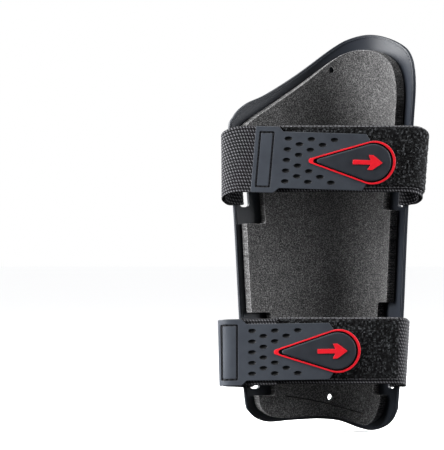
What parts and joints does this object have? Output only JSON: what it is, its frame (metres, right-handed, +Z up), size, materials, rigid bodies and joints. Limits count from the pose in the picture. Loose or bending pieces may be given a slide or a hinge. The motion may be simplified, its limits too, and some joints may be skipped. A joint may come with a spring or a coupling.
{
  "type": "shin guard",
  "caption": "Formed plastic shin guard with a foam pad and hook-and-loop calf straps that loop round bars in its sides.",
  "frame": {"origin": "on the axis of the leg that the guard is strapped to, level with the shell's lowest point", "axes": "+Z up the shin, +Y back towards the calf, +X towards the low side of the shell's sloping top edge"},
  "size_m": [0.159, 0.0759, 0.3005],
  "materials": {
    "shell_plastic": "satin moulded polypropylene",
    "foam": "open speckled foam with a brushed skin",
    "film": "adhesive film",
    "tab_rubber": "satin moulded rubber",
    "red_inlay": "satin red moulded inlay",
    "webbing": "woven elastic webbing",
    "pile": "unbroken loop pile",
    "hook": "moulded hooks",
    "thread": "twisted sewing thread"
  },
  "bodies": {
    "guard": {"shell": "shell_plastic", "pad": "foam", "pad_adhesive": "film"},
    "upper_tab_half": {"upper_tab": "tab_rubber", "upper_tab_stitching": "thread", "upper_tab_outline": "red_inlay", "upper_tab_button": "tab_rubber", "upper_tab_arrow": "red_inlay", "upper_hook_patch": "hook", "upper_tab_loop": "webbing", "upper_loop_tack": "thread"},
    "upper_band_half": {"upper_band": "webbing", "upper_band_tack": "thread", "upper_loop_pile": "pile"},
    "lower_tab_half": {"lower_tab": "tab_rubber", "lower_tab_stitching": "thread", "lower_tab_outline": "red_inlay", "lower_tab_button": "tab_rubber", "lower_tab_arrow": "red_inlay", "lower_hook_patch": "hook", "lower_tab_loop": "webbing", "lower_loop_tack": "thread"},
    "lower_band_half": {"lower_band": "webbing", "lower_band_tack": "thread", "lower_loop_pile": "pile"}
  },
  "joints": [
    {"name": "upper_tab_swing", "type": "hinge", "parent": "guard", "child": "upper_tab_half", "pos_m": [0.06592, 0.00328, 0.195], "axis": [-0.0728, -0.0521, -0.996], "range_deg": [0, 120]},
    {"name": "upper_band_swing", "type": "hinge", "parent": "guard", "child": "upper_band_half", "pos_m": [-0.06503, 0.00356, 0.19502], "axis": [-0.0617, 0.1011, 0.993], "range_deg": [0, 30]},
    {"name": "lower_tab_swing", "type": "hinge", "parent": "guard", "child": "lower_tab_half", "pos_m": [0.05786, 0.00002, 0.05804], "axis": [-0.0595, -0.0061, -0.9982], "range_deg": [0, 100]},
    {"name": "lower_band_swing", "type": "hinge", "parent": "guard", "child": "lower_band_half", "pos_m": [-0.0582, -0.00339, 0.05804], "axis": [-0.0554, 0.0401, 0.9977], "range_deg": [0, 20]}
  ],
  "couplings": [
    {"joint": "upper_band_swing", "follows": "upper_tab_swing", "ratio": 0.25},
    {"joint": "lower_band_swing", "follows": "lower_tab_swing", "ratio": 0.2}
  ]
}
